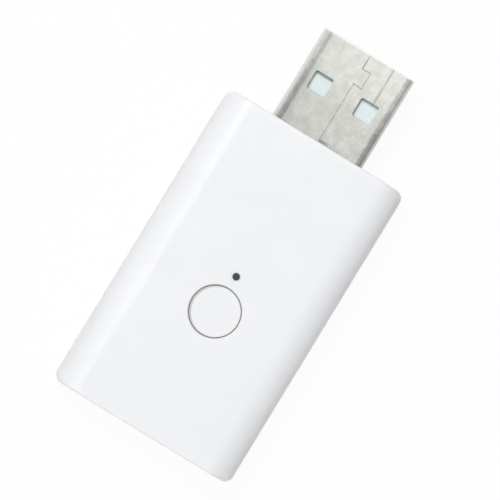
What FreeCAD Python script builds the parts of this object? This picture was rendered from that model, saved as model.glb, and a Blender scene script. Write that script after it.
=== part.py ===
import FreeCAD, Part
import math
import os

from FreeCAD import Vector

# A radio repeater in the form of a stick: a moulded housing with a push button, an indicator and a
# USB plug. Lengths are in millimetres. X runs across the stick, Y along it with the plug at +Y, and
# Z up from the face it rests on to the face with the button. The origin is the middle of the
# footprint, on the resting face.

# Housing
BODY_WIDTH = 23.8
BODY_LENGTH = 39.3
BODY_HEIGHT = 9.0
WALL = 1.2
SIDE_RADIUS = 3.3
CORNER_RADIUS = 1.1
END_EDGE_RADIUS = 0.35
PARTING_GROOVE = 0.12

# Lip and snap beads that join the two covers
LIP_THICK = 0.55
LIP_HEIGHT = 0.6
LIP_GAP = 0.05
BEAD_LENGTH = 4.0
BEAD_PROUD = 0.14
BEAD_FROM_ENDS = 8.5

# Posts under and over the board: a pair with pins near the tail and a plain pair behind the plug
POST_SIDE = 2.4
POST_INSET = 2.4
REST_BEHIND_PLUG = 2.3
PIN_FROM_TAIL = 6.6
PIN_RADIUS = 0.75
PIN_LENGTH = 1.9
PIN_BEVEL = 0.25
PIN_FIT = 0.02
BOARD_HOLE_GAP = 0.1
BOARD_HOLD_GAP = 0.1

# Ribs
RIB_THICK = 0.8
RIB_HALF_SPAN = 6.2
TAIL_RIB_FROM_TAIL = 4.2
CRADLE_HALF_SPAN = 4.6
CRADLE_FROM_FRONT = 2.6

# Plug, with the shell folded from sheet
PLUG_WIDTH = 12.0
PLUG_HEIGHT = 4.5
PLUG_SHEET = 0.3
PLUG_CORNER = 0.6
PLUG_REACH = 11.85
PLUG_INSIDE = 6.85
PLUG_FIT = 0.06
PLUG_TIP_BEVEL = 0.1
WINDOW_WIDTH = 2.4
WINDOW_LENGTH = 2.4
WINDOW_CORNER = 0.3
WINDOWS_X = (-3.25, 2.9)
WINDOW_FROM_TIP = 5.93
SEAM_X = 0.05
SEAM_GAP = 0.04
LOCK_REACH = 1.1
LOCK_NECK = 1.95
LOCK_FLARE = 0.12
LOCKS_FROM_TIP = (1.95, 11.6)
TAB_WIDTH = 1.6
TAB_LENGTH = 1.35
TAB_BEND_RADIUS = 0.1
TABS_FROM_BACK = (1.75, 4.35)

# Plug insulator and contacts
INSULATOR_GAP = 0.02
TONGUE_FROM_TIP = 0.45
TONGUE_BEVEL = 0.35
LATCH_DEPTH = 0.5
LATCH_SPARE = 0.1
CAVITY_DEPTH = 12.0
CONTACT_WIDTH = 1.0
CONTACT_SHEET = 0.2
CONTACT_GAP = 0.02
CONTACT_HOOK = 0.8
CONTACT_BEND = 0.25
TAIL_WIDTH = 0.6
TAIL_LENGTH = 2.0
POWER_X = 3.5
DATA_X = 1.0
POWER_FROM_TIP = 1.2
DATA_FROM_TIP = 2.2

# Button, round and free to slide in its hole
BUTTON_FROM_TAIL = 16.35
BUTTON_RADIUS = 3.0
BUTTON_GAP = 0.1
BUTTON_SINK = 0.05
BUTTON_EDGE = 0.12
BUTTON_WALL = 0.8
BUTTON_TRAVEL = 0.25
STEM_RADIUS = 1.1
FLANGE_REACH = 0.45
FLANGE_THICK = 0.6
FLANGE_GAP = 0.05

# Indicator
LED_FROM_TAIL = 21.05
PIPE_TIP_RADIUS = 0.43
PIPE_TIP_GAP = 0.015
PIPE_RADIUS = 0.7
PIPE_GAP = 0.02
PIPE_SINK = 0.08
COLLAR_THICK = 0.33
COLLAR_DEPTH = 1.5
PIPE_LED_GAP = 0.3
LED_SIZE = (1.6, 0.8, 0.3)
LENS_SIZE = (1.0, 0.8, 0.35)
LENS_EDGE = 0.07

# Circuit board
BOARD_THICK = 1.0
BOARD_GAP = 0.3
BOARD_CORNER = 0.8
CUTOUT_SIDE_GAP = 0.3
CUTOUT_BACK_GAP = 0.15
SOLDER_HEIGHT = 0.14
SOLDER_BEVEL = 0.11
SOLDER_REACH = 0.3

# Push switch on the board
SWITCH_SIDE = 4.5
SWITCH_BASE_HEIGHT = 1.1
SWITCH_FLOOR = 0.35
SWITCH_FRAME_SHEET = 0.15
SWITCH_SKIRT = 0.7
SWITCH_POCKET_RADIUS = 1.75
PLUNGER_RADIUS = 1.0
PLUNGER_FLANGE_RADIUS = 1.4
PLUNGER_FLANGE_THICK = 0.25
PLUNGER_GAP = 0.08
PLUNGER_TOP = 1.8
DOME_RADIUS = 1.6
DOME_CROWN_RADIUS = 0.6
DOME_SHEET = 0.08
DOME_SPARE = 0.12
TERMINAL_WIDTH = 0.7
TERMINAL_REACH = 0.8
TERMINAL_SHEET = 0.15
TERMINAL_SPACING = 3.0

# Printed antenna, a meander at the tail end of the board
TRACE_WIDTH = 0.5
TRACE_THICK = 0.05
TRACE_TURNS = 8
TRACE_DEPTH = 3.2
TRACE_EDGE = 0.6
TRACE_SIDE = 0.8

# Radio chip and the small parts round it, placed from the board's tail edge
CHIP_SIDE = 5.0
CHIP_HEIGHT = 0.85
CHIP_X = -1.6
CHIP_FROM_TAIL = 9.6
PAD_WIDTH = 0.25
PAD_HEIGHT = 0.2
PAD_PROUD = 0.04
PAD_PITCH = 0.5
PADS_PER_SIDE = 8
CRYSTAL_SIZE = (2.5, 3.2, 0.75)
CRYSTAL_X = 3.9
LID_EDGE = 0.09
END_CAP_SHARE = 0.2
END_CAP_PROUD = 0.02
SMALL_SIZE = (1.0, 0.5, 0.5)
SMALL_GAP = 0.35

# Power supply parts, placed from the plug's back and the board's +X side
REGULATOR_SIZE = (2.9, 1.6, 1.1)
REGULATOR_BEHIND_PLUG = 5.9
REGULATOR_FROM_STORE = 2.65
LEAD_WIDTH = 0.4
LEAD_SHEET = 0.15
LEAD_LENGTH = 0.6
LEAD_PITCH = 0.95
FERRITE_SIZE = (0.8, 1.6, 0.8)
FERRITE_FROM_REGULATOR = 2.4
FERRITE_BEHIND_PLUG = 3.4
STORE_SIZE = (1.25, 2.0, 1.25)
STORE_FROM_SIDE = 1.85

# Where the main planes lie
TAIL_Y = -(BODY_LENGTH + PLUG_REACH) / 2
FRONT_Y = TAIL_Y + BODY_LENGTH
TIP_Y = FRONT_Y + PLUG_REACH
PLUG_BACK_Y = FRONT_Y - PLUG_INSIDE
MID_Z = BODY_HEIGHT / 2
FLOOR_Z = WALL
ROOF_Z = BODY_HEIGHT - WALL
INNER_X = BODY_WIDTH / 2 - WALL
INNER_TAIL_Y = TAIL_Y + WALL
INNER_FRONT_Y = FRONT_Y - WALL
BOARD_TOP_Z = MID_Z
BOARD_Z = BOARD_TOP_Z - BOARD_THICK
BOARD_X = INNER_X - BOARD_GAP
BOARD_TAIL_Y = INNER_TAIL_Y + BOARD_GAP
BOARD_FRONT_Y = INNER_FRONT_Y - BOARD_GAP
BUTTON_Y = TAIL_Y + BUTTON_FROM_TAIL
DOME_RISE = BUTTON_TRAVEL + DOME_SPARE
LED_Y = TAIL_Y + LED_FROM_TAIL
POST_X = INNER_X - POST_INSET
PIN_Y = TAIL_Y + PIN_FROM_TAIL
REST_Y = PLUG_BACK_Y - REST_BEHIND_PLUG
TRACE_X = -BOARD_X + TRACE_SIDE
TRACE_PITCH = (-2 * TRACE_X - TRACE_WIDTH) / TRACE_TURNS
FEED_X = TRACE_X + TRACE_TURNS // 2 * TRACE_PITCH
CHIP_Y = BOARD_TAIL_Y + CHIP_FROM_TAIL
STORE_X = BOARD_X - STORE_FROM_SIDE
REGULATOR_X = STORE_X - REGULATOR_FROM_STORE
REGULATOR_Y = PLUG_BACK_Y - REGULATOR_BEHIND_PLUG

# Depth that a boss or rib runs into the wall that carries it
ROOT = WALL / 2
# Overrun of a cutting tool past the face that it cuts
OVER = 1.0
# Difference below which two places or directions count as one
CLOSE = 1e-5


def box(x0, x1, y0, y1, z0, z1):
    return Part.makeBox(x1 - x0, y1 - y0, z1 - z0, Vector(x0, y0, z0))


def block(size, x, y, z):
    """Box of a given size standing at z, centred on x and y."""
    width, length, height = size
    return box(x - width / 2, x + width / 2, y - length / 2, y + length / 2, z, z + height)


def rod(radius, x, y, z0, z1):
    return Part.makeCylinder(radius, z1 - z0, Vector(x, y, z0))


def edges_along(shape, axis):
    """Straight edges that run parallel to an axis."""
    found = []
    for edge in shape.Edges:
        straight = edge.Curve.TypeId == "Part::GeomLine"
        if straight and edge.tangentAt(edge.FirstParameter).cross(axis).Length < CLOSE:
            found.append(edge)
    return found


def edges_at(shape, axis, height):
    """Edges that lie in the plane across an axis at a given height."""
    found = []
    for edge in shape.Edges:
        heights = [point.dot(axis) for point in edge.discretize(5)]
        if max(abs(value - height) for value in heights) < CLOSE:
            found.append(edge)
    return found


def soft_bar(half_width, height, radius, y0, y1):
    """Bar along Y about the middle plane, with its four long edges rounded."""
    bar = box(-half_width, half_width, y0, y1, MID_Z - height / 2, MID_Z + height / 2)
    return bar.makeFillet(radius, edges_along(bar, Vector(0, 1, 0)))


def soft_plate(x, y, half_width, half_length, radius, z0, z1):
    """Plate about x and y with its four upright edges rounded, or sharp where the radius is 0."""
    plate = box(x - half_width, x + half_width, y - half_length, y + half_length, z0, z1)
    return plate.makeFillet(radius, edges_along(plate, Vector(0, 0, 1))) if radius else plate


def both_sides(shape):
    """A shape and its mirror image across the middle of the stick."""
    return [shape, shape.mirror(Vector(0, 0, 0), Vector(1, 0, 0))]


def joined(shape, extras):
    return shape.fuse(extras).removeSplitter()


def housing_eighth():
    """Upper front part of the housing on the +X side, with its end outline rounded.

    The rounding is large on the side and small on top, and changes over the curve between them.
    """
    corner_x = BODY_WIDTH / 2 - SIDE_RADIUS
    corner_z = BODY_HEIGHT - SIDE_RADIUS
    middle_y = (TAIL_Y + FRONT_Y) / 2
    flat = box(0, corner_x, middle_y, FRONT_Y, MID_Z, BODY_HEIGHT)
    top_edge = [edge for edge in edges_along(flat, Vector(1, 0, 0))
                if edge.BoundBox.YMin > FRONT_Y - CLOSE and edge.BoundBox.ZMin > BODY_HEIGHT - CLOSE]
    flat = flat.makeFillet(END_EDGE_RADIUS, top_edge)
    band = box(corner_x, BODY_WIDTH / 2, middle_y, FRONT_Y, MID_Z, corner_z)
    side_edge = [edge for edge in edges_along(band, Vector(0, 0, 1))
                 if edge.BoundBox.YMin > FRONT_Y - CLOSE and edge.BoundBox.XMin > corner_x + CLOSE]
    band = band.makeFillet(CORNER_RADIUS, side_edge)
    curve = Part.makeCylinder(SIDE_RADIUS, FRONT_Y - middle_y, Vector(0, 0, 0), Vector(0, 0, 1), 90)
    curve.rotate(Vector(0, 0, 0), Vector(1, 0, 0), 90)
    curve.translate(Vector(corner_x, FRONT_Y, corner_z))
    arc = [edge for edge in edges_at(curve, Vector(0, 1, 0), FRONT_Y)
           if edge.Curve.TypeId == "Part::GeomCircle"][0]
    rises = arc.valueAt(arc.LastParameter).z > arc.valueAt(arc.FirstParameter).z
    first, last = (CORNER_RADIUS, END_EDGE_RADIUS) if rises else (END_EDGE_RADIUS, CORNER_RADIUS)
    curve = curve.makeFillet(first, last, [arc])
    return joined(flat, [band, curve])


def housing_form():
    """Outer form of the closed housing, mirrored from one eighth of it."""
    middle = Vector(0, (TAIL_Y + FRONT_Y) / 2, MID_Z)
    form = housing_eighth()
    for normal in (Vector(1, 0, 0), Vector(0, 1, 0), Vector(0, 0, 1)):
        form = joined(form, [form.mirror(middle, normal)])
    return form


def housing_shell():
    """The closed housing made hollow, before it is parted."""
    cavity = soft_bar(INNER_X, ROOF_Z - FLOOR_Z, SIDE_RADIUS - WALL, INNER_TAIL_Y, INNER_FRONT_Y)
    return housing_form().cut(cavity)


def inner_plate(margin, z0, z1):
    """Plate that reaches a margin past the cavity's outline."""
    middle_y = (INNER_TAIL_Y + INNER_FRONT_Y) / 2
    half_length = (INNER_FRONT_Y - INNER_TAIL_Y) / 2 + margin
    return soft_plate(0, middle_y, INNER_X + margin, half_length, margin, z0, z1)


def slab(z0, z1):
    """Layer wider than the housing, between two heights."""
    return box(-BODY_WIDTH, BODY_WIDTH, TAIL_Y - OVER, FRONT_Y + OVER, z0, z1)


def plug_opening():
    half_width = PLUG_WIDTH / 2 + PLUG_FIT
    height = PLUG_HEIGHT + 2 * PLUG_FIT
    return soft_bar(half_width, height, PLUG_CORNER + PLUG_FIT, PLUG_BACK_Y, FRONT_Y + OVER)


def snap_beads(proud):
    """Low ridges on the lip's long sides, two on each side."""
    beads = []
    face_x = INNER_X + LIP_THICK
    middle_z = MID_Z + LIP_HEIGHT / 2
    for middle_y in (TAIL_Y + BEAD_FROM_ENDS, FRONT_Y - BEAD_FROM_ENDS):
        corners = [
            Vector(face_x - ROOT / 2, 0, middle_z - 2 * proud),
            Vector(face_x, 0, middle_z - proud),
            Vector(face_x + proud, 0, middle_z),
            Vector(face_x, 0, middle_z + proud),
            Vector(face_x - ROOT / 2, 0, middle_z + 2 * proud),
        ]
        section = Part.Face(Part.makePolygon(corners + corners[:1]))
        section.translate(Vector(0, middle_y - BEAD_LENGTH / 2, 0))
        beads += both_sides(section.extrude(Vector(0, BEAD_LENGTH, 0)))
    return beads


def board_posts(z0, z1):
    """Four square posts that carry the board or hold it down."""
    posts = []
    for y in (PIN_Y, REST_Y):
        posts += both_sides(block((POST_SIDE, POST_SIDE, z1 - z0), POST_X, y, z0))
    return posts


def board_pins():
    """Pins that stand on the posts near the tail and pass through the board."""
    pin = rod(PIN_RADIUS, POST_X, PIN_Y, BOARD_Z - ROOT, BOARD_TOP_Z + PIN_LENGTH)
    tip = edges_at(pin, Vector(0, 0, 1), BOARD_TOP_Z + PIN_LENGTH)
    return both_sides(pin.makeChamfer(PIN_BEVEL, tip))


def rib(half_span, y, z0, z1):
    return box(-half_span, half_span, y - RIB_THICK / 2, y + RIB_THICK / 2, z0, z1)


def bottom_cover():
    cover = housing_shell().common(slab(-OVER, MID_Z))
    lip = inner_plate(LIP_THICK, MID_Z, MID_Z + LIP_HEIGHT)
    lip = lip.cut(inner_plate(0, MID_Z - OVER, MID_Z + LIP_HEIGHT + OVER))
    cradle_y = INNER_FRONT_Y - CRADLE_FROM_FRONT
    extras = [lip] + snap_beads(BEAD_PROUD) + board_posts(FLOOR_Z - ROOT, BOARD_Z) + board_pins()
    extras += [rib(RIB_HALF_SPAN, y, FLOOR_Z - ROOT, BOARD_Z)
               for y in (TAIL_Y + TAIL_RIB_FROM_TAIL, BUTTON_Y)]
    extras.append(rib(CRADLE_HALF_SPAN, cradle_y, FLOOR_Z - ROOT, MID_Z - PLUG_HEIGHT / 2))
    return joined(cover, extras).cut(plug_opening())


def pin_sockets():
    """Blind holes that take the ends of the pins."""
    hole = rod(PIN_RADIUS + PIN_FIT, POST_X, PIN_Y, BOARD_TOP_Z - OVER,
               BOARD_TOP_Z + PIN_LENGTH + BOARD_HOLE_GAP)
    return both_sides(hole)


def button_hole():
    """Hole for the button, with its outer edge broken."""
    radius = BUTTON_RADIUS + BUTTON_GAP
    hole = rod(radius, 0, BUTTON_Y, ROOF_Z - OVER, BODY_HEIGHT + OVER)
    mouth = Part.makeCone(radius, radius + BUTTON_EDGE, BUTTON_EDGE,
                          Vector(0, BUTTON_Y, BODY_HEIGHT - BUTTON_EDGE))
    return hole.fuse(mouth)


def pipe_hole():
    """Stepped hole for the light pipe."""
    tip = rod(PIPE_TIP_RADIUS + PIPE_TIP_GAP, 0, LED_Y, ROOF_Z - OVER, BODY_HEIGHT + OVER)
    body = rod(PIPE_RADIUS + PIPE_GAP, 0, LED_Y, ROOF_Z - COLLAR_DEPTH - OVER, ROOF_Z)
    return tip.fuse(body)


def top_cover():
    cover = housing_shell().common(slab(MID_Z, BODY_HEIGHT + OVER))
    seat = inner_plate(LIP_THICK + LIP_GAP, MID_Z - OVER, MID_Z + LIP_HEIGHT + 2 * LIP_GAP)
    groove = slab(MID_Z - OVER, MID_Z + PARTING_GROOVE)
    groove = groove.cut(inner_plate(WALL - PARTING_GROOVE, MID_Z - 2 * OVER, MID_Z + OVER))
    cover = cover.cut([seat, groove] + snap_beads(BEAD_PROUD + LIP_GAP))
    cradle_y = INNER_FRONT_Y - CRADLE_FROM_FRONT
    collar_side = 2 * (PIPE_RADIUS + PIPE_GAP + COLLAR_THICK)
    extras = board_posts(BOARD_TOP_Z + BOARD_HOLD_GAP, ROOF_Z + ROOT)
    extras.append(rib(CRADLE_HALF_SPAN, cradle_y, MID_Z + PLUG_HEIGHT / 2, ROOF_Z + ROOT))
    extras.append(block((collar_side, collar_side, COLLAR_DEPTH + ROOT), 0, LED_Y,
                        ROOF_Z - COLLAR_DEPTH))
    return joined(cover, extras).cut([plug_opening(), button_hole(), pipe_hole()] + pin_sockets())


def button_cap():
    """Round cap with a retaining flange and a stem, cored out between the stem and its rim."""
    top = BODY_HEIGHT - BUTTON_SINK
    flange_top = ROOF_Z - FLANGE_GAP
    flange_z = flange_top - FLANGE_THICK
    head = rod(BUTTON_RADIUS, 0, BUTTON_Y, flange_z, top)
    head = head.makeChamfer(BUTTON_EDGE, edges_at(head, Vector(0, 0, 1), top))
    flange = rod(BUTTON_RADIUS + FLANGE_REACH, 0, BUTTON_Y, flange_z, flange_top)
    core = rod(BUTTON_RADIUS - BUTTON_WALL, 0, BUTTON_Y, flange_z - OVER, top - BUTTON_WALL)
    stem = rod(STEM_RADIUS, 0, BUTTON_Y, BOARD_TOP_Z + PLUNGER_TOP, top - BUTTON_WALL / 2)
    return joined(head.fuse(flange).cut(core), [stem])


def light_pipe():
    """Stepped pin that leads the light of the indicator to the face."""
    tip = rod(PIPE_TIP_RADIUS, 0, LED_Y, ROOF_Z - ROOT, BODY_HEIGHT - PIPE_SINK)
    low = BOARD_TOP_Z + LED_SIZE[2] + LENS_SIZE[2] + PIPE_LED_GAP
    body = rod(PIPE_RADIUS, 0, LED_Y, low, ROOF_Z)
    return joined(tip, [body])


def seam_path():
    """Points of the seam from tip to back, with a flared lock at each place in LOCKS_FROM_TIP."""
    path = [Vector(SEAM_X, TIP_Y + OVER, 0)]
    for start in LOCKS_FROM_TIP:
        neck_y = TIP_Y - start
        path.append(Vector(SEAM_X, neck_y, 0))
        path.append(Vector(SEAM_X + LOCK_REACH, neck_y + LOCK_FLARE, 0))
        path.append(Vector(SEAM_X + LOCK_REACH, neck_y - LOCK_NECK - LOCK_FLARE, 0))
        path.append(Vector(SEAM_X, neck_y - LOCK_NECK, 0))
    path.append(Vector(SEAM_X, PLUG_BACK_Y - OVER, 0))
    return path


def seam_cut():
    """Narrow slit along the seam, through the upper sheet only."""
    path = seam_path()
    z0 = MID_Z + PLUG_HEIGHT / 2 - PLUG_SHEET
    depth = PLUG_SHEET + OVER
    pieces = []
    for start, end in zip(path[:-1], path[1:]):
        along = end - start
        slit = Part.makeBox(along.Length + SEAM_GAP, SEAM_GAP, depth,
                            Vector(-SEAM_GAP / 2, -SEAM_GAP / 2, z0))
        slit.rotate(Vector(0, 0, 0), Vector(0, 0, 1), math.degrees(math.atan2(along.y, along.x)))
        slit.translate(start)
        pieces.append(slit)
    return pieces[0].fuse(pieces[1:])


def tab_places():
    return [PLUG_BACK_Y + distance for distance in TABS_FROM_BACK]


def board_tab(y):
    """Solder tab on the +X side: bent out of the side wall to lie on the board."""
    wall_x = PLUG_WIDTH / 2
    bend = TAB_BEND_RADIUS
    tab = box(wall_x - PLUG_SHEET, wall_x + TAB_LENGTH, y - TAB_WIDTH / 2, y + TAB_WIDTH / 2,
              BOARD_TOP_Z, BOARD_TOP_Z + PLUG_SHEET)
    corner = box(wall_x - OVER, wall_x + bend, y - OVER, y + OVER, BOARD_TOP_Z - OVER,
                 BOARD_TOP_Z + bend)
    relief = Part.makeCylinder(bend, 2 * OVER, Vector(wall_x + bend, y - OVER, BOARD_TOP_Z + bend),
                               Vector(0, 1, 0))
    keep = box(wall_x - OVER, wall_x, y - OVER, y + OVER, BOARD_TOP_Z - OVER, BOARD_TOP_Z + OVER)
    return tab.cut(corner.cut(relief).cut(keep))


def latch_cuts(margin, corner, z0):
    """Two upright cuts from z0 up, a margin past the size of the latch windows."""
    return [soft_plate(x, TIP_Y - WINDOW_FROM_TIP, WINDOW_WIDTH / 2 + margin,
                       WINDOW_LENGTH / 2 + margin, corner, z0, BODY_HEIGHT)
            for x in WINDOWS_X]


def plug_shell():
    """Tube of folded sheet with latch windows, a dovetailed seam and tabs bent out of its sides."""
    half_width = PLUG_WIDTH / 2
    tube = soft_bar(half_width, PLUG_HEIGHT, PLUG_CORNER, PLUG_BACK_Y, TIP_Y)
    tube = tube.makeChamfer(PLUG_TIP_BEVEL, edges_at(tube, Vector(0, 1, 0), TIP_Y))
    inside = soft_bar(half_width - PLUG_SHEET, PLUG_HEIGHT - 2 * PLUG_SHEET,
                      PLUG_CORNER - PLUG_SHEET, PLUG_BACK_Y - OVER, TIP_Y + OVER)
    cuts = [inside, seam_cut()] + latch_cuts(0, WINDOW_CORNER, 0)
    tabs = []
    for y in tab_places():
        low = BOARD_TOP_Z + PLUG_SHEET
        hole = box(half_width - PLUG_SHEET - OVER / 2, half_width + OVER, y - TAB_WIDTH / 2,
                   y + TAB_WIDTH / 2, low, low + TAB_LENGTH)
        cuts += both_sides(hole)
        tabs += both_sides(board_tab(y))
    return joined(tube.cut(cuts), tabs)


def plug_insulator():
    """White moulding: a tongue against the shell's upper wall and a block at the back.

    The tongue is hollowed under the latch windows, where a socket's springs reach in.
    """
    half_width = PLUG_WIDTH / 2 - PLUG_SHEET - INSULATOR_GAP
    height = PLUG_HEIGHT - 2 * PLUG_SHEET - 2 * INSULATOR_GAP
    body = soft_bar(half_width, height, PLUG_CORNER - PLUG_SHEET, PLUG_BACK_Y,
                    TIP_Y - TONGUE_FROM_TIP)
    mouth = box(-PLUG_WIDTH, PLUG_WIDTH, TIP_Y - CAVITY_DEPTH, TIP_Y + OVER, 0, MID_Z)
    body = body.cut(mouth)
    front = TIP_Y - TONGUE_FROM_TIP
    low_edge = [edge for edge in edges_at(body, Vector(0, 1, 0), front)
                if abs(edge.BoundBox.ZMax - MID_Z) < CLOSE]
    body = body.makeChamfer(TONGUE_BEVEL, low_edge)
    slots = []
    for x, from_tip in contact_places():
        start = TIP_Y - from_tip + CONTACT_GAP
        half = CONTACT_WIDTH / 2 + CONTACT_GAP
        slots.append(box(x - half, x + half, PLUG_BACK_Y - OVER, start, MID_Z,
                         MID_Z + CONTACT_SHEET))
        slots.append(box(x - half, x + half, start - CONTACT_SHEET - CONTACT_BEND, start, MID_Z,
                         MID_Z + CONTACT_HOOK + CONTACT_GAP))
    latch_z = MID_Z + height / 2 - LATCH_DEPTH
    return body.cut(slots + latch_cuts(LATCH_SPARE, 0, latch_z))


def contact_places():
    """Place across the plug of each contact and how far its end lies from the tip."""
    return [(POWER_X, POWER_FROM_TIP), (DATA_X, DATA_FROM_TIP),
            (-DATA_X, DATA_FROM_TIP), (-POWER_X, POWER_FROM_TIP)]


def plug_contact(x, from_tip):
    """Strip whose front end hooks up into the tongue and whose tail lies on the board."""
    start = TIP_Y - from_tip
    half = CONTACT_WIDTH / 2
    strip = box(x - half, x + half, PLUG_BACK_Y, start, MID_Z, MID_Z + CONTACT_HOOK)
    above = box(x - OVER, x + OVER, PLUG_BACK_Y - OVER, start - CONTACT_SHEET,
                MID_Z + CONTACT_SHEET, MID_Z + CONTACT_HOOK + OVER)
    hook = strip.cut(above)
    bend = [edge for edge in edges_along(hook, Vector(1, 0, 0))
            if abs(edge.BoundBox.YMax - start) < CLOSE and abs(edge.BoundBox.ZMax - MID_Z) < CLOSE]
    hook = hook.makeFillet(CONTACT_BEND, bend)
    tail = box(x - TAIL_WIDTH / 2, x + TAIL_WIDTH / 2, PLUG_BACK_Y - TAIL_LENGTH,
               PLUG_BACK_Y, MID_Z, MID_Z + CONTACT_SHEET)
    return joined(hook, [tail])


def circuit_board():
    """Board with a cutout for the plug and holes for the pins."""
    middle_y = (BOARD_TAIL_Y + BOARD_FRONT_Y) / 2
    half_length = (BOARD_FRONT_Y - BOARD_TAIL_Y) / 2
    board = soft_plate(0, middle_y, BOARD_X, half_length, BOARD_CORNER, BOARD_Z, BOARD_TOP_Z)
    half = PLUG_WIDTH / 2 + CUTOUT_SIDE_GAP
    cuts = [box(-half, half, PLUG_BACK_Y - CUTOUT_BACK_GAP, FRONT_Y, 0, BODY_HEIGHT)]
    cuts += both_sides(rod(PIN_RADIUS + BOARD_HOLE_GAP, POST_X, PIN_Y, 0, BODY_HEIGHT))
    return board.cut(cuts)


def solder_pad(x0, x1, y0, y1, metal):
    """Low mound of solder on the board round a piece of metal."""
    pad = box(x0, x1, y0, y1, BOARD_TOP_Z, BOARD_TOP_Z + SOLDER_HEIGHT)
    rim = edges_at(pad, Vector(0, 0, 1), BOARD_TOP_Z + SOLDER_HEIGHT)
    return pad.makeChamfer(SOLDER_BEVEL, rim).cut(metal)


def shell_solder(shell):
    """One mound at each tab of the shell."""
    x0 = PLUG_WIDTH / 2 + CUTOUT_SIDE_GAP
    x1 = PLUG_WIDTH / 2 + TAB_LENGTH + SOLDER_REACH
    reach = TAB_WIDTH / 2 + SOLDER_REACH
    mounds = []
    for y in tab_places():
        for side in (-1, 1):
            low, high = sorted((side * x0, side * x1))
            mounds.append(solder_pad(low, high, y - reach, y + reach, shell))
    return Part.makeCompound(mounds)


def contact_solder(contacts):
    """One mound at the tail of each contact."""
    reach = TAIL_WIDTH / 2 + SOLDER_REACH / 2
    y0 = PLUG_BACK_Y - TAIL_LENGTH - SOLDER_REACH
    y1 = PLUG_BACK_Y - CUTOUT_BACK_GAP - SOLDER_REACH
    places = [x for x, from_tip in contact_places()]
    return Part.makeCompound([solder_pad(x - reach, x + reach, y0, y1, contact)
                              for x, contact in zip(places, contacts)])


def antenna_trace():
    """Meander of flat track whose last leg runs in towards the radio chip."""
    z0, z1 = BOARD_TOP_Z, BOARD_TOP_Z + TRACE_THICK
    far_y = BOARD_TAIL_Y + TRACE_EDGE
    near_y = far_y + TRACE_DEPTH
    track = []
    for turn in range(TRACE_TURNS):
        x = TRACE_X + turn * TRACE_PITCH
        track.append(box(x, x + TRACE_WIDTH, far_y, near_y, z0, z1))
        across_y = far_y if turn % 2 else near_y - TRACE_WIDTH
        track.append(box(x, x + TRACE_PITCH + TRACE_WIDTH, across_y, across_y + TRACE_WIDTH, z0, z1))
    last_x = TRACE_X + TRACE_TURNS * TRACE_PITCH
    feed_y = CHIP_Y - CHIP_SIDE / 2 - SMALL_GAP - SMALL_SIZE[0]
    track.append(box(last_x, last_x + TRACE_WIDTH, far_y, near_y, z0, z1))
    track.append(box(FEED_X, FEED_X + TRACE_WIDTH, near_y - TRACE_WIDTH, feed_y, z0, z1))
    return joined(track[0], track[1:])


def turned(shape, x, y):
    """A shape turned a quarter about the upright line through x and y."""
    copy = shape.copy()
    copy.rotate(Vector(x, y, 0), Vector(0, 0, 1), 90)
    return copy


def radio_chip():
    """Flat square package with solder pads along its lower edges."""
    body = block((CHIP_SIDE, CHIP_SIDE, CHIP_HEIGHT), CHIP_X, CHIP_Y, BOARD_TOP_Z)
    body = body.makeChamfer(PAD_PROUD, edges_at(body, Vector(0, 0, 1), BOARD_TOP_Z + CHIP_HEIGHT))
    across = CHIP_SIDE + 2 * PAD_PROUD
    pads = []
    for number in range(PADS_PER_SIDE):
        shift = (number - (PADS_PER_SIDE - 1) / 2) * PAD_PITCH
        pair = block((PAD_WIDTH, across, PAD_HEIGHT), CHIP_X + shift, CHIP_Y, BOARD_TOP_Z)
        pads += [pair, turned(pair, CHIP_X, CHIP_Y)]
    return joined(body, pads)


def crystal():
    """Ceramic base with a smaller metal lid."""
    width, length, height = CRYSTAL_SIZE
    base = block((width, length, height / 2), CRYSTAL_X, CHIP_Y, BOARD_TOP_Z)
    lid_size = (width - SMALL_GAP, length - SMALL_GAP, height)
    lid = block(lid_size, CRYSTAL_X, CHIP_Y, BOARD_TOP_Z)
    lid = lid.makeChamfer(LID_EDGE, edges_at(lid, Vector(0, 0, 1), BOARD_TOP_Z + height))
    return joined(base, [lid])


def two_ended_part(size, x, y, upright=False):
    """Small block with a slightly larger metal cap on each end, long side along X or along Y."""
    length, width, height = size
    cap = length * END_CAP_SHARE
    body_size = (length, width - 2 * END_CAP_PROUD, height - END_CAP_PROUD)
    body = block(body_size, x, y, BOARD_TOP_Z)
    caps = [block((cap, width, height), x + side * (length - cap) / 2, y, BOARD_TOP_Z)
            for side in (-1, 1)]
    part = joined(body, caps)
    return turned(part, x, y) if upright else part


def along_y(size):
    """Length, width and height of a part whose long side runs along Y."""
    return (size[1], size[0], size[2])


def decoupling_capacitors():
    """Small capacitors in a row beside the radio chip and one beyond the crystal."""
    beside_x = CHIP_X - CHIP_SIDE / 2 - SMALL_GAP - SMALL_SIZE[1] / 2
    pitch = SMALL_SIZE[0] + SMALL_GAP
    row = [two_ended_part(SMALL_SIZE, beside_x, CHIP_Y + step * pitch, upright=True)
           for step in (-1, 0, 1)]
    behind_y = CHIP_Y - CRYSTAL_SIZE[1] / 2 - SMALL_GAP - SMALL_SIZE[1] / 2
    row.append(two_ended_part(SMALL_SIZE, CRYSTAL_X, behind_y))
    return Part.makeCompound(row)


def pull_resistors():
    """Resistors of the switch and of the indicator, in line beside them."""
    x = SWITCH_SIDE / 2 + TERMINAL_REACH + SMALL_GAP + SMALL_SIZE[1]
    return Part.makeCompound([two_ended_part(SMALL_SIZE, x, BUTTON_Y, upright=True),
                              two_ended_part(SMALL_SIZE, -x, BUTTON_Y, upright=True),
                              two_ended_part(SMALL_SIZE, x, LED_Y)])


def rf_inductor():
    """Matching coil between the chip and the antenna track."""
    y = CHIP_Y - CHIP_SIDE / 2 - SMALL_GAP - SMALL_SIZE[0] / 2
    return two_ended_part(SMALL_SIZE, FEED_X + TRACE_WIDTH / 2, y, upright=True)


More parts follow.
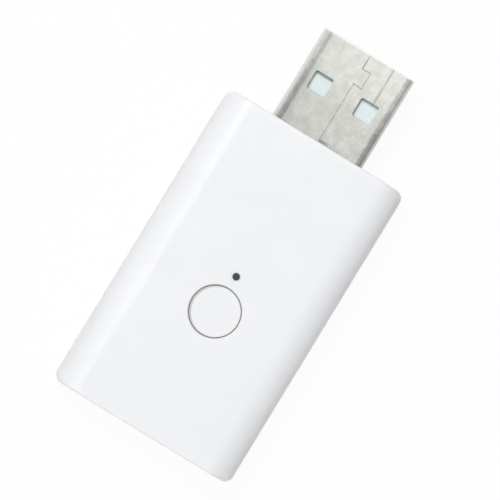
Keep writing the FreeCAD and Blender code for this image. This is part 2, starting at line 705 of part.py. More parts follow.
def rf_capacitor():
    """Matching capacitor beside the coil."""
    y = CHIP_Y - CHIP_SIDE / 2 - SMALL_GAP - SMALL_SIZE[0] / 2
    x = FEED_X + TRACE_WIDTH / 2 + SMALL_SIZE[1] + SMALL_GAP
    return two_ended_part(SMALL_SIZE, x, y, upright=True)


def voltage_regulator():
    """Moulded body with sloped sides, standing on its leads."""
    width, length, height = REGULATOR_SIZE
    lift = LEAD_SHEET / 2
    body = block((width, length, height - lift), REGULATOR_X, REGULATOR_Y, BOARD_TOP_Z + lift)
    rim = edges_at(body, Vector(0, 0, 1), BOARD_TOP_Z + height)
    return body.makeChamfer(LEAD_SHEET, rim)


def bent_lead(face_y, y_sign, x, width, sheet, reach, height):
    """Lead that leaves a face level, turns down and lies flat on the board."""
    z = BOARD_TOP_Z
    step = reach / 2
    profile = [(0, z + height), (step, z + height), (step, z + sheet), (reach, z + sheet),
               (reach, z), (step - sheet, z), (step - sheet, z + height - sheet),
               (0, z + height - sheet)]
    corners = [Vector(x - width / 2, face_y + y_sign * away, level) for away, level in profile]
    section = Part.Face(Part.makePolygon(corners + corners[:1]))
    return section.extrude(Vector(width, 0, 0))


def regulator_leads():
    """Three leads on one side of the regulator and two on the other."""
    half = REGULATOR_SIZE[1] / 2
    height = REGULATOR_SIZE[2] / 2
    leads = []
    for side, steps in ((-1, (-1, 0, 1)), (1, (-1, 1))):
        for step in steps:
            leads.append(bent_lead(REGULATOR_Y + side * half, side, REGULATOR_X + step * LEAD_PITCH,
                                   LEAD_WIDTH, LEAD_SHEET, LEAD_LENGTH, height))
    return Part.makeCompound(leads)


def ferrite_bead():
    return two_ended_part(along_y(FERRITE_SIZE), REGULATOR_X - FERRITE_FROM_REGULATOR,
                          PLUG_BACK_Y - FERRITE_BEHIND_PLUG, upright=True)


def store_capacitor(side):
    """Larger capacitor beside the regulator, on the side of its input or of its output."""
    x = REGULATOR_X + side * REGULATOR_FROM_STORE
    return two_ended_part(along_y(STORE_SIZE), x, REGULATOR_Y, upright=True)


def led_body():
    return two_ended_part(LED_SIZE, 0, LED_Y)


def led_lens():
    lens = block(LENS_SIZE, 0, LED_Y, BOARD_TOP_Z + LED_SIZE[2])
    rim = edges_at(lens, Vector(0, 0, 1), BOARD_TOP_Z + LED_SIZE[2] + LENS_SIZE[2])
    return lens.makeChamfer(LENS_EDGE, rim)


def switch_base():
    """Square base with a round pocket for the dome and the plunger."""
    top = BOARD_TOP_Z + SWITCH_BASE_HEIGHT
    base = block((SWITCH_SIDE, SWITCH_SIDE, SWITCH_BASE_HEIGHT), 0, BUTTON_Y, BOARD_TOP_Z)
    pocket = rod(SWITCH_POCKET_RADIUS, 0, BUTTON_Y, BOARD_TOP_Z + SWITCH_FLOOR, top + OVER)
    return base.cut(pocket)


def switch_terminals():
    """Four bent leads, two on each side of the base."""
    leads = []
    for x_side in (-1, 1):
        for y_side in (-1, 1):
            lead = bent_lead(BUTTON_Y + SWITCH_SIDE / 2, 1, y_side * TERMINAL_SPACING / 2,
                             TERMINAL_WIDTH, TERMINAL_SHEET, TERMINAL_REACH, SWITCH_FLOOR)
            lead.rotate(Vector(0, BUTTON_Y, 0), Vector(0, 0, 1), 90 * x_side)
            leads.append(lead)
    return Part.makeCompound(leads)


def dome_top():
    return BOARD_TOP_Z + SWITCH_FLOOR + DOME_RISE + DOME_SHEET


def switch_dome():
    """Thin sprung dome that the plunger snaps down: a sloped skirt and a flat crown."""
    base = Vector(0, BUTTON_Y, BOARD_TOP_Z + SWITCH_FLOOR)
    outer = Part.makeCone(DOME_RADIUS, DOME_CROWN_RADIUS, DOME_RISE + DOME_SHEET, base)
    hollow = outer.translated(Vector(0, 0, -DOME_SHEET))
    return outer.cut(hollow)


def switch_plunger():
    """Round plunger, held under the frame by its flange."""
    low = dome_top()
    stem = rod(PLUNGER_RADIUS, 0, BUTTON_Y, low, BOARD_TOP_Z + PLUNGER_TOP)
    flange = rod(PLUNGER_FLANGE_RADIUS, 0, BUTTON_Y, low, low + PLUNGER_FLANGE_THICK)
    return joined(stem, [flange])


def switch_frame():
    """Sheet cover over the base, with a hole for the plunger and a skirt down two sides."""
    top = BOARD_TOP_Z + SWITCH_BASE_HEIGHT
    outer = SWITCH_SIDE + 2 * SWITCH_FRAME_SHEET
    depth = SWITCH_SKIRT + SWITCH_FRAME_SHEET
    frame = block((SWITCH_SIDE, outer, depth), 0, BUTTON_Y, top - SWITCH_SKIRT)
    inside = block((SWITCH_SIDE + OVER, SWITCH_SIDE, SWITCH_SKIRT), 0, BUTTON_Y, top - SWITCH_SKIRT)
    hole = rod(PLUNGER_RADIUS + PLUNGER_GAP, 0, BUTTON_Y, top - OVER, top + OVER)
    return frame.cut([inside, hole])


def all_parts():
    """Every piece by the name of its node."""
    contact_names = ("plug_contact_vbus", "plug_contact_dminus",
                     "plug_contact_dplus", "plug_contact_gnd")
    contacts = [plug_contact(x, from_tip) for x, from_tip in contact_places()]
    shell = plug_shell()
    parts = {
        "top_cover": top_cover(),
        "bottom_cover": bottom_cover(),
        "button_cap": button_cap(),
        "light_pipe": light_pipe(),
        "plug_shell": shell,
        "plug_insulator": plug_insulator(),
        "circuit_board": circuit_board(),
        "shell_solder": shell_solder(shell),
        "contact_solder": contact_solder(contacts),
        "antenna_trace": antenna_trace(),
        "radio_chip": radio_chip(),
        "crystal": crystal(),
        "decoupling_capacitors": decoupling_capacitors(),
        "pull_resistors": pull_resistors(),
        "rf_inductor": rf_inductor(),
        "rf_capacitor": rf_capacitor(),
        "voltage_regulator": voltage_regulator(),
        "regulator_leads": regulator_leads(),
        "ferrite_bead": ferrite_bead(),
        "input_capacitor": store_capacitor(1),
        "output_capacitor": store_capacitor(-1),
        "led_body": led_body(),
        "led_lens": led_lens(),
        "switch_base": switch_base(),
        "switch_terminals": switch_terminals(),
        "switch_dome": switch_dome(),
        "switch_plunger": switch_plunger(),
        "switch_frame": switch_frame(),
    }
    parts.update(zip(contact_names, contacts))
    return parts


os.makedirs("parts", exist_ok=True)
for node, shape in all_parts().items():
    shape.exportStep(f"parts/{node}.step")
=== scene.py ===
import math

import bpy
from mathutils import Matrix, Vector


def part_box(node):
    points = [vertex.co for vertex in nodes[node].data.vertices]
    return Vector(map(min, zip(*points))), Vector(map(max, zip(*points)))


# The looks of the radio repeater stick: a white satin housing with a push button and an indicator,
# and a nickel plated USB plug. Lengths are in metres, X across the stick, Y towards the plug's tip
# and Z up. Every shape is a CAD node, and this script gives each its material.

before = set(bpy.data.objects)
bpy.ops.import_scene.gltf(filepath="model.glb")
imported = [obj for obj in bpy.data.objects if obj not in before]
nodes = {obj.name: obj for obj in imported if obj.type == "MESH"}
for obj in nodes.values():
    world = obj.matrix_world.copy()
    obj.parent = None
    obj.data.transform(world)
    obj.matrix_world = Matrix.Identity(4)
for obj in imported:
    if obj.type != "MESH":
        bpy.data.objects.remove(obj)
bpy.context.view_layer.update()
MM = 0.001

# Camera: a long lens almost straight above, leaning a little to the left side and to the tail
FIELD_WIDTH = 58.05 * MM
CAMERA_DISTANCE = 0.8
SENSOR_WIDTH = 36.0
CAMERA_TARGET = Vector((-0.075, -1.0, 4.5)) * MM
PLUG_DIRECTION = math.radians(58.6)
LEAN_LEFT = math.radians(2.4)
LEAN_BACK = math.radians(0.7)

# Lamps, as (name, direction, width and length, power, shows in reflections): a soft strip high over
# the stick's left side, towards the plug's tip, and a weak one low behind its tail
LAMPS = (
    ("soft_lamp", Vector((-0.35, 0.3, 1.0)).normalized(), (0.16, 0.4), 2.15, True),
    ("fill_lamp", Vector((0.05, -1.0, 0.4)).normalized(), (0.3, 0.15), 0.62, False),
)
LAMP_DISTANCE = 0.6
WORLD_STRENGTH = 0.435

# Floor: white paper, most of it glow where the camera or a reflection looks
FLOOR_HALF = 2.0
FLOOR_DROP = 0.02 * MM
FLOOR_GLOW = 0.94
WHITE = (1, 1, 1, 1)
PAPER = (0.9, 0.9, 0.9, 1)

# Values of a noise between which its patches change, and how much small detail a noise has
USUAL = (0.3, 0.7)
PATCHY = (0.25, 0.6)
SMOOTH = 2.0
FINE = 3.0
FINEST = 4.0

# Housing and button: satin moulded plastic that lets light a little way in
HOUSING_WHITE = (0.867, 0.877, 0.893)
SCATTER_COLOR = (1.0, 0.95, 0.9)
SCATTER_DEPTH = 0.4 * MM

# Joint round the button: the ring in which its walls lie, the painted light on them and where that
# starts
JOINT_RADIUS = 3.03 * MM
JOINT_HALF = 0.09 * MM
JOINT_DEPTH = 0.1 * MM
JOINT_EDGE = 0.02 * MM
JOINT_WALL_LIGHT = (0.98, 0.98, 0.98)

# Painted shade along the joint, with a middle and radius of its own: its strength grows from the
# right to the left, between two places across
SHADE_SHIFT = 0.09 * MM
SHADE_RADIUS = 3.06 * MM
SHADE_HALF = 0.12 * MM
SHADE_SOFT = 0.15 * MM
SHADE_ACROSS = (0.5 * JOINT_RADIUS, -JOINT_RADIUS)
SHADE_STRENGTHS = (0.05, 0.5)
SHADE_COLOR = (0.15, 0.15, 0.16)

# Plug shell: the dull and the bright clouds of its plating with dark flecks, and painted shade
# across it, darker to the left
PLATING = ((0.433, 0.437, 0.411), (0.503, 0.508, 0.478))
PLATING_CLOUD = 1.1 * MM
PLATING_ACROSS_SHADE = (0.93, 1.04)
ACROSS_SHADE_HALF = 5 * MM
FLECKS = (0.36, 0.365, 0.342)
FLECK_SIZE = 0.4 * MM
FLECK_RANGE = (0.4, 0.7)
FLECK_STRENGTH = 0.45

# Plug shell: sheen in hairlines along it, small dents, and how much rougher the flecks, the shaded
# bends and the darker patches are
HAIR_ROUGHNESS = (0.32, 0.38)
HAIR_SIZE = 0.06 * MM
HAIR_STRETCH = (1.0, 0.04, 1.0)
DENT_SIZE = 0.5 * MM
DENT_DEPTH = 0.005 * MM
FLECKS_ROUGHER = 0.1
BENDS_ROUGHER = 0.45
DARK_PATCHES_ROUGHER = 0.3

# Plug shell: painted shade in patches that grows between two places from the tip towards the
# housing, and a painted highlight on the edge at the tip
HOUSING_SHADE_FROM_TIP = (1.8 * MM, 9.0 * MM)
HOUSING_SHADE_FACTOR = (0.81, 0.815, 0.81)
HOUSING_SHADE_LEAST = 0.7
BLOTCH_SIZE = 1.6 * MM
TIP_HIGHLIGHT_FROM_TIP = (0.1 * MM, 0.16 * MM)
TIP_HIGHLIGHT = (0.88, 0.885, 0.86)
TIP_HIGHLIGHT_STRENGTH = 0.8

# Plug shell: bands along it as (place across, half width, soft edge, strength) in millimetres:
# painted shade along the bends, painted light on the sides, and marks that sockets leave from the
# tip onwards.
BEND_BANDS = (
    (-5.15, 0.1, 0.25, 0.48),
    (-5.38, 0.12, 0.26, 0.5),
    (-5.2, 0.2, 1.6, 0.22),
    (5.34, 0.1, 0.5, 0.5),
    (5.3, 0.2, 1.4, 0.1),
)
BEND_REACH = 11 * MM
BEND_FADE = (1.15, 0.85)
BEND_PATCH = 1.2 * MM
BEND_RANGE = (0.25, 0.7)
BEND_LEAST = 0.85
BEND_SHADE_COLOR = (0.08, 0.078, 0.082)
SIDE_LIGHT_BANDS = ((-6.0, 0.15, 0.23, 0.8), (6.0, 0.15, 0.23, 0.45))
SIDE_LIGHT_COLOR = (0.80, 0.80, 0.79)
SOCKET_MARKS = ((3.28, 0.07, 0.12, 0.6), (-3.16, 0.05, 0.12, 0.1))
MARK_LENGTH = 4.7 * MM
MARK_END = 0.4 * MM
MARK_COLOR = (0.22, 0.22, 0.20)
MARK_LEAST = 0.6
TOP_DEPTHS = (0.1 * MM, 0.3 * MM)

# Darker patches on the plug's upper face, as soft rectangles (place across, half width, place from
# the tip, half length, strength) in millimetres: at the seam's tip, at both ends of its front lock
# and at its rear lock, and a painted shadow along the housing, where the plug goes in
RECTANGLE_EDGE = 0.12 * MM
PLUG_DARK_PATCHES = (
    (0.03, 0.04, 0.9, 0.9, 0.45),
    (0.5, 0.45, 1.95, 0.03, 0.4),
    (0.5, 0.5, 3.93, 0.03, 0.5),
    (0.55, 0.4, 11.62, 0.1, 0.7),
    (0.0, 5.9, 11.87, 0.04, 0.5),
)
DARK_PATCH_COLOR = (0.10, 0.11, 0.11)
DARK_PATCH_SIZE = 0.5 * MM
DARK_PATCH_LEAST = 0.6

# Tongue: painted shade under the windows, along their front, left and rear edges, as soft
# rectangles like those above
HOLLOW_SHADES = (
    (-3.25, 1.2, 4.83, 0.16, 0.55),
    (2.9, 1.2, 4.83, 0.12, 0.5),
    (-4.4, 0.05, 5.93, 1.2, 0.25),
    (1.74, 0.06, 5.93, 1.2, 0.5),
    (-3.25, 1.2, 7.13, 0.05, 0.35),
    (2.9, 1.2, 7.13, 0.05, 0.35),
)
HOLLOW_SHADE_COLOR = (0.12, 0.19, 0.20)

# Clear resin of the indicator and of the pin above it
RESIN_IOR = 1.49

# Small parts with tinned ends: the share of the length that an end covers, and the bodies' colours
END_CAP_SHARE = 0.2
TIN = ((0.62, 0.61, 0.59), (0.76, 0.75, 0.73))
CAPPED_PARTS = {
    "rf_inductor": (0.07, 0.08, 0.11),
    "rf_capacitor": (0.58, 0.43, 0.27),
    "ferrite_bead": (0.07, 0.07, 0.07),
    "input_capacitor": (0.55, 0.40, 0.25),
    "output_capacitor": (0.55, 0.40, 0.25),
    "led_body": (0.82, 0.82, 0.78),
}

# Circuit board: solder resist bare and over copper, the glass core, and the tracks' pattern
RESIST = ((0.02, 0.16, 0.06), (0.05, 0.27, 0.11))
GLASS_CORE = (0.45, 0.42, 0.2)
CORE_EDGE = 0.02 * MM
CORE_ROUGHNESS = (0.3, 0.7)
RESIST_THICK = 0.06 * MM
TRACK_PATTERN = {"Scale": 1.0, "Mortar Size": 0.08 * MM, "Mortar Smooth": 0.3,
                 "Brick Width": 3.1 * MM, "Row Height": 0.55 * MM}
TRACK_OFFSET = 0.37
TRACK_FIELD = 3 * MM
TRACK_RANGE = (0.45, 0.55)
TRACK_DEPTH = 0.02 * MM


def facing(back, up):
    """Turn of a camera or lamp whose back points one way and whose top points about another."""
    top = (up - back * up.dot(back)).normalized()
    return Matrix((top.cross(back), top, back)).transposed().to_4x4()


def place_object(name, data, back, distance, up):
    """Puts a camera or lamp at a distance from the camera's target, turned towards it."""
    thing = bpy.data.objects.new(name, data)
    thing.matrix_world = Matrix.Translation(CAMERA_TARGET + back * distance) @ facing(back, up)
    bpy.context.scene.collection.objects.link(thing)
    return thing


def add_camera():
    picture_up = Vector((-math.cos(PLUG_DIRECTION), math.sin(PLUG_DIRECTION), 0))
    back = Vector((-math.sin(LEAN_LEFT), -math.sin(LEAN_BACK), 1)).normalized()
    data = bpy.data.cameras.new("camera")
    data.sensor_width = SENSOR_WIDTH
    data.lens = SENSOR_WIDTH * CAMERA_DISTANCE / FIELD_WIDTH
    data.clip_start = CAMERA_DISTANCE / 10
    data.clip_end = CAMERA_DISTANCE * 10
    camera = place_object("camera", data, back, CAMERA_DISTANCE, picture_up)
    bpy.context.scene.camera = camera


def add_lamp(name, direction, size, power, reflected):
    data = bpy.data.lights.new(name, "AREA")
    data.shape = "RECTANGLE"
    data.size, data.size_y = size
    data.energy = power
    lamp = place_object(name, data, direction, LAMP_DISTANCE, Vector((0, 1, 0)))
    lamp.visible_glossy = reflected


class Graph:
    """Small helper that adds linked shader nodes to a material or world."""

    def __init__(self, owner):
        owner.use_nodes = True
        self.tree = owner.node_tree
        self.tree.nodes.clear()

    def add(self, kind, links=None, **settings):
        node = self.tree.nodes.new("ShaderNode" + kind)
        for name, value in settings.items():
            setattr(node, name, value)
        for name, value in (links or {}).items():
            self.put(node.inputs[name], value)
        return node

    def put(self, socket, value):
        if isinstance(value, bpy.types.NodeSocket):
            self.tree.links.new(value, socket)
        else:
            socket.default_value = value

    def math(self, operation, *values, clamp=False):
        node = self.add("Math", operation=operation, use_clamp=clamp)
        for socket, value in zip(node.inputs, values):
            self.put(socket, value)
        return node.outputs[0]

    def product(self, first, *others):
        for other in others:
            first = self.math("MULTIPLY", first, other)
        return first

    def seen(self):
        """1 where the camera, a reflection or a clear part looks, and 0 for the light it gives."""
        rays = self.add("LightPath").outputs
        seen = self.math("ADD", rays["Is Camera Ray"], rays["Is Glossy Ray"], clamp=True)
        return self.math("ADD", seen, rays["Is Transmission Ray"], clamp=True)

    def noise(self, vector, size, detail=SMOOTH):
        """Noise whose patches measure about a given size."""
        node = self.add("TexNoise", {"Vector": vector, "Scale": 1 / size, "Detail": detail})
        return node.outputs["Fac"]

    def span(self, value, low, high, to_low=0.0, to_high=1.0):
        """A value's range, mapped smoothly to another one and held at its ends."""
        node = self.add("MapRange", {"Value": value, "From Min": low, "From Max": high,
                                     "To Min": to_low, "To Max": to_high},
                        interpolation_type="SMOOTHSTEP")
        return node.outputs["Result"]

    def patches(self, vector, size, detail=SMOOTH, to_low=0.0, to_high=1.0):
        """Soft patches of about a given size, from one value to another."""
        return self.span(self.noise(vector, size, detail), *USUAL, to_low, to_high)

    def blend(self, factor, first, second, mode="MIX"):
        """Colour between two colours, each a socket or a triple."""
        node = self.add("Mix", data_type="RGBA", blend_type=mode)
        sockets = [socket for socket in node.inputs if socket.enabled]
        for socket, value in zip(sockets, (factor, first, second)):
            if isinstance(value, tuple):
                value = (*value, 1.0)
            self.put(socket, value)
        return [socket for socket in node.outputs if socket.enabled][0]

    def bump(self, height, distance):
        node = self.add("Bump", {"Height": height, "Distance": distance})
        return node.outputs["Normal"]

    def stripe(self, value, middle, half, soft):
        """1 within half of the middle, falling to 0 over a soft edge."""
        away = self.math("ABSOLUTE", self.math("SUBTRACT", value, middle))
        return self.span(away, half + soft, half)

    def strongest(self, layers):
        """The strongest of several layers, each a socket and its strength, from 0 to 1."""
        total = 0.0
        for layer, strength in layers:
            total = self.math("MAXIMUM", total, self.math("MULTIPLY", layer, strength))
        return total


def add_world():
    """Plain pale light from all round, and white where the camera or a reflection looks."""
    world = bpy.data.worlds.new("world")
    bpy.context.scene.world = world
    graph = Graph(world)
    strength = graph.span(graph.seen(), 0, 1, WORLD_STRENGTH, 1.0)
    background = graph.add("Background", {"Color": WHITE, "Strength": strength})
    graph.add("OutputWorld", {"Surface": background.outputs[0]})


def add_floor():
    """White ground that keeps a faint shadow of the stick."""
    mesh = bpy.data.meshes.new("floor")
    half, z = FLOOR_HALF, -FLOOR_DROP
    mesh.from_pydata([(-half, -half, z), (half, -half, z), (half, half, z), (-half, half, z)],
                     [], [(0, 1, 2, 3)])
    floor = bpy.data.objects.new("floor", mesh)
    bpy.context.scene.collection.objects.link(floor)
    material = bpy.data.materials.new("floor")
    graph = Graph(material)
    paper = graph.add("BsdfDiffuse", {"Color": PAPER})
    glow = graph.add("Emission", {"Color": WHITE, "Strength": 1.0})
    mix = graph.add("MixShader", {"Fac": graph.math("MULTIPLY", graph.seen(), FLOOR_GLOW)})
    graph.put(mix.inputs[1], paper.outputs[0])
    graph.put(mix.inputs[2], glow.outputs[0])
    graph.add("OutputMaterial", {"Surface": mix.outputs[0]})
    mesh.materials.append(material)


class Surface(Graph):
    """A material with a principled shader, and the sockets that give a place on it."""

    def __init__(self, name, **sockets):
        self.material = bpy.data.materials.new(name)
        super().__init__(self.material)
        self.shader = self.add("BsdfPrincipled", sockets)
        self.add("OutputMaterial", {"Surface": self.shader.outputs[0]})
        self.place = self.add("TexCoord").outputs["Object"]
        self.x, self.y, self.z = self.add("SeparateXYZ", {"Vector": self.place}).outputs

    def set(self, name, value):
        self.put(self.shader.inputs[name], value)

    def mottled(self, color, darker, size, detail=SMOOTH):
        """A colour with patches in which it is darker by a factor."""
        shade = tuple(part * darker for part in color)
        return self.blend(self.patches(self.place, size, detail), shade, color)

    def roughen(self, middle, spread, size, detail=SMOOTH):
        rough = self.patches(self.place, size, detail, middle - spread, middle + spread)
        self.set("Roughness", rough)

    def grain(self, depth, size, detail=SMOOTH):
        self.set("Normal", self.bump(self.noise(self.place, size, detail), depth))


def dress(surface, *names):
    """Gives CAD nodes a surface's material."""
    for name in names:
        for slot in nodes[name].material_slots:
            slot.material = surface.material


def bands(surface, places):
    """The strongest of several stripes along the plug, from 0 to 1."""
    return surface.strongest(
        (surface.stripe(surface.x, middle * MM, half * MM, soft * MM), strength)
        for middle, half, soft, strength in places)


def soft_rectangles(surface, tip, places):
    """The strongest of several soft rectangles, placed across and from the tip, from 0 to 1."""
    from_tip = surface.math("SUBTRACT", tip, surface.y)
    return surface.strongest(
        (surface.product(surface.stripe(surface.x, across * MM, half_width * MM, RECTANGLE_EDGE),
                         surface.stripe(from_tip, along * MM, half_length * MM, RECTANGLE_EDGE)),
         strength)
        for across, half_width, along, half_length, strength in places)


def radius_from(surface, x, y):
    """Distance from an upright axis."""
    squares = [surface.math("POWER", surface.math("SUBTRACT", socket, middle), 2)
               for socket, middle in ((surface.x, x), (surface.y, y))]
    return surface.math("SQRT", surface.math("ADD", *squares))


def joint_painted_shade_and_light(surface, tint):
    """A tint with soft painted shade along the joint round the button, and painted light on the
    walls inside the joint.
    """
    low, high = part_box("button_cap")
    middle = (low + high) / 2
    # Painted shade along the joint, strongest on the left
    across = surface.math("SUBTRACT", surface.x, middle.x)
    shade = surface.stripe(radius_from(surface, middle.x + SHADE_SHIFT, middle.y),
                           SHADE_RADIUS, SHADE_HALF, SHADE_SOFT)
    side = surface.span(across, *SHADE_ACROSS, *SHADE_STRENGTHS)
    tint = surface.blend(surface.product(shade, side), tint, SHADE_COLOR)
    # Painted light on the walls inside the joint
    inside = surface.stripe(radius_from(surface, middle.x, middle.y),
                            JOINT_RADIUS, JOINT_HALF, JOINT_EDGE)
    below = surface.span(surface.z, high.z - JOINT_EDGE, high.z - JOINT_DEPTH)
    return surface.blend(surface.product(inside, below), tint, JOINT_WALL_LIGHT)


def moulded_plastic(name, color, roughness):
    """Satin moulded plastic: a fine sparked grain and a barely uneven tone."""
    surface = Surface(name)
    surface.set("Subsurface Weight", 1.0)
    surface.set("Subsurface Radius", SCATTER_COLOR)
    surface.set("Subsurface Scale", SCATTER_DEPTH)
    tint = surface.mottled(color, darker=0.985, size=7 * MM)
    surface.set("Base Color", joint_painted_shade_and_light(surface, tint))
    surface.roughen(roughness, spread=0.03, size=2.5 * MM, detail=FINE)
    surface.grain(depth=0.0012 * MM, size=0.09 * MM, detail=FINE)
    return surface


def plated_sheet(name):
    """Satin nickel: mottled plating with painted shade across it, along the bends and towards the
    housing, painted light on the sides, a painted highlight at the tip, and marks left by sockets.
    """
    surface = Surface(name, Metallic=1.0)
    place, x, y, z = surface.place, surface.x, surface.y, surface.z
    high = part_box("plug_shell")[1]
    blotches = surface.noise(place, BLOTCH_SIZE)
    shallow, deep = TOP_DEPTHS
    on_top = surface.span(z, high.z - deep, high.z - shallow)

    color = surface.blend(surface.patches(place, PLATING_CLOUD, FINE), *PLATING)
    # Painted shade across the top: darker to the left, a little lighter to the right
    across_shade = surface.span(x, -ACROSS_SHADE_HALF, ACROSS_SHADE_HALF, *PLATING_ACROSS_SHADE)
    color = surface.blend(1.0, color, across_shade, mode="MULTIPLY")
    flecks = surface.span(surface.noise(place, FLECK_SIZE, FINE), *FLECK_RANGE, 0.0, FLECK_STRENGTH)
    color = surface.blend(flecks, color, FLECKS)

    # Painted shade in patches, growing darker towards the housing
    near, far = HOUSING_SHADE_FROM_TIP
    housing_shade = surface.product(surface.span(y, high.y - near, high.y - far),
                           surface.span(blotches, *PATCHY, HOUSING_SHADE_LEAST, 1.0))
    color = surface.blend(housing_shade, color, HOUSING_SHADE_FACTOR, mode="MULTIPLY")

    # Painted shade along the bends, stronger towards the housing
    patchy = surface.span(surface.noise(place, BEND_PATCH), *BEND_RANGE, BEND_LEAST, 1.0)
    bends = surface.product(bands(surface, BEND_BANDS), patchy,
                            surface.span(y, high.y - BEND_REACH, high.y, *BEND_FADE))
    color = surface.blend(bends, color, BEND_SHADE_COLOR)
    # Painted light on the plug's sides
    color = surface.blend(bands(surface, SIDE_LIGHT_BANDS), color, SIDE_LIGHT_COLOR)

    patchy = surface.span(blotches, *PATCHY, MARK_LEAST, 1.0)
    ahead = surface.span(y, high.y - MARK_LENGTH - MARK_END, high.y - MARK_LENGTH)
    marks = surface.product(bands(surface, SOCKET_MARKS), patchy, ahead, on_top)
    color = surface.blend(marks, color, MARK_COLOR)
    # Darker patches at the seam and locks, and a painted shadow along the housing
    patchy = surface.span(surface.noise(place, DARK_PATCH_SIZE), *PATCHY, DARK_PATCH_LEAST, 1.0)
    dark_patches = surface.product(soft_rectangles(surface, high.y, PLUG_DARK_PATCHES), on_top, patchy)
    color = surface.blend(dark_patches, color, DARK_PATCH_COLOR)
    # Painted highlight on the edge at the tip
    near, far = TIP_HIGHLIGHT_FROM_TIP
    tip_highlight = surface.span(y, high.y - far, high.y - near, 0.0, TIP_HIGHLIGHT_STRENGTH)
    surface.set("Base Color", surface.blend(tip_highlight, color, TIP_HIGHLIGHT))

    stretched = surface.add("Mapping", {"Vector": place, "Scale": HAIR_STRETCH}).outputs[0]
    rough = surface.patches(stretched, HAIR_SIZE, SMOOTH, *HAIR_ROUGHNESS)
    for layer, rougher in ((flecks, FLECKS_ROUGHER), (bends, BENDS_ROUGHER),
                           (dark_patches, DARK_PATCHES_ROUGHER)):
        rough = surface.math("ADD", rough, surface.product(layer, rougher))
    surface.set("Roughness", rough)
    relief = surface.math("SUBTRACT", surface.noise(place, DENT_SIZE, FINEST), marks)
    surface.set("Normal", surface.bump(relief, DENT_DEPTH))
    return surface


def tongue_plastic(name, color, roughness):
    """Matt moulding of the plug's tongue, with painted shade under the edges of the windows."""
    surface = Surface(name)
    tint = surface.mottled(color, darker=0.96, size=1.2 * MM, detail=FINE)
    # Painted shade under the edges of the windows
    shade = soft_rectangles(surface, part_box("plug_shell")[1].y, HOLLOW_SHADES)
    surface.set("Base Color", surface.blend(shade, tint, HOLLOW_SHADE_COLOR))
    surface.roughen(roughness, spread=0.05, size=0.5 * MM)
    surface.grain(depth=0.004 * MM, size=0.08 * MM, detail=FINE)
    return surface


def plain_metal(name, color, roughness, uneven=0.06):
    """Small metal parts: soft tone patches and uneven gloss."""
    surface = Surface(name, Metallic=1.0)
    tint = surface.mottled(color, darker=0.85, size=0.8 * MM, detail=FINE)
    surface.set("Base Color", tint)
    surface.roughen(roughness, uneven, size=0.4 * MM)
    surface.grain(depth=0.004 * MM, size=0.15 * MM)
    return surface


def matte_body(name, color, roughness):
    """Moulded or fired body with a fine grain."""
    surface = Surface(name)
    tint = surface.mottled(color, darker=0.9, size=1.2 * MM, detail=FINE)
    surface.set("Base Color", tint)
    surface.roughen(roughness, spread=0.05, size=0.5 * MM)
    surface.grain(depth=0.004 * MM, size=0.08 * MM, detail=FINE)
    return surface


def clear_resin(name, color, roughness, clearness):
    """Clear or smoked resin with faint haze."""
    surface = Surface(name)
    surface.set("Transmission Weight", clearness)
    surface.set("IOR", RESIN_IOR)
    surface.set("Base Color", surface.mottled(color, darker=0.85, size=0.3 * MM))
    surface.roughen(roughness, spread=0.04, size=0.2 * MM)
    return surface


def capped_part(name, node, color):
    """Body of a small part with tinned ends, which lie furthest from its middle."""
    surface = Surface(name)
    low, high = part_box(node)
    size, middle = high - low, (low + high) / 2
    if size.y > size.x:
        along, centre, length = surface.y, middle.y, size.y
    else:
        along, centre, length = surface.x, middle.x, size.x
    away = surface.math("ABSOLUTE", surface.math("SUBTRACT", along, centre))
    metal = surface.math("GREATER_THAN", away, length * (0.5 - END_CAP_SHARE))
    body = surface.mottled(color, darker=0.85, size=0.3 * MM)
    cap = surface.blend(surface.patches(surface.place, 0.3 * MM), *TIN)
    surface.set("Base Color", surface.blend(metal, body, cap))
    surface.set("Metallic", metal)
    surface.roughen(middle=0.425, spread=0.075, size=0.2 * MM)
    return surface


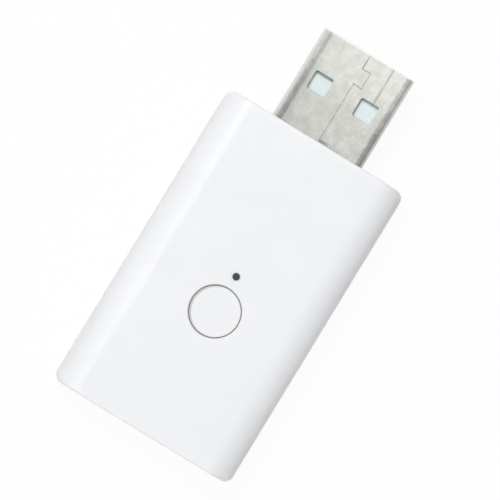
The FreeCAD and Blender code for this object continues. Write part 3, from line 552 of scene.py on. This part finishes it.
def board_resist(name):
    """Green solder resist over faint square-cornered tracks, with the glass core at its edges."""
    surface = Surface(name)
    low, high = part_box("circuit_board")
    pattern = {"Vector": surface.place, **TRACK_PATTERN}
    tracks = surface.add("TexBrick", pattern, offset=TRACK_OFFSET).outputs["Fac"]
    fields = surface.span(surface.noise(surface.place, TRACK_FIELD), *TRACK_RANGE)
    tracks = surface.product(tracks, fields)
    core = surface.stripe(surface.z, (low.z + high.z) / 2, (high.z - low.z) / 2 - RESIST_THICK,
                          CORE_EDGE)
    resist = surface.blend(tracks, *RESIST)
    surface.set("Base Color", surface.blend(core, resist, GLASS_CORE))
    surface.set("Roughness", surface.span(core, 0, 1, *CORE_ROUGHNESS))
    surface.set("Normal", surface.bump(tracks, TRACK_DEPTH))
    return surface


add_camera()
for lamp in LAMPS:
    add_lamp(*lamp)
add_world()
add_floor()

dress(moulded_plastic("housing_white", HOUSING_WHITE, roughness=0.44),
      "top_cover", "bottom_cover")
dress(moulded_plastic("button_white", HOUSING_WHITE, roughness=0.4), "button_cap")
dress(clear_resin("smoked_clear", (0.035, 0.05, 0.065), roughness=0.22, clearness=0.15),
      "light_pipe")
dress(plated_sheet("nickel"), "plug_shell")
dress(tongue_plastic("insulator_white", (0.81, 0.89, 0.9), roughness=0.42), "plug_insulator")
dress(plain_metal("gold_contact", (0.86, 0.66, 0.32), roughness=0.25),
      "plug_contact_vbus", "plug_contact_dminus", "plug_contact_dplus", "plug_contact_gnd")
dress(board_resist("board_green"), "circuit_board")
dress(plain_metal("copper_track", (0.80, 0.56, 0.30), roughness=0.4), "antenna_trace")
dress(plain_metal("solder", (0.74, 0.74, 0.73), roughness=0.3, uneven=0.12),
      "shell_solder", "contact_solder")
dress(matte_body("package_black", (0.03, 0.03, 0.033), roughness=0.55),
      "radio_chip", "voltage_regulator")
dress(plain_metal("tinned_metal", (0.74, 0.73, 0.71), roughness=0.3),
      "crystal", "regulator_leads", "switch_terminals", "switch_dome", "switch_frame")
dress(matte_body("ceramic_tan", (0.58, 0.43, 0.27), roughness=0.45), "decoupling_capacitors")
dress(matte_body("ceramic_black", (0.05, 0.05, 0.05), roughness=0.4), "pull_resistors")
dress(matte_body("switch_black", (0.04, 0.04, 0.042), roughness=0.5),
      "switch_base", "switch_plunger")
dress(clear_resin("led_clear", (0.9, 0.92, 0.85), roughness=0.14, clearness=0.8), "led_lens")
for node, color in CAPPED_PARTS.items():
    dress(capped_part("capped_" + node, node, color), node)

view_settings = bpy.context.scene.view_settings
view_settings.view_transform = "Standard"
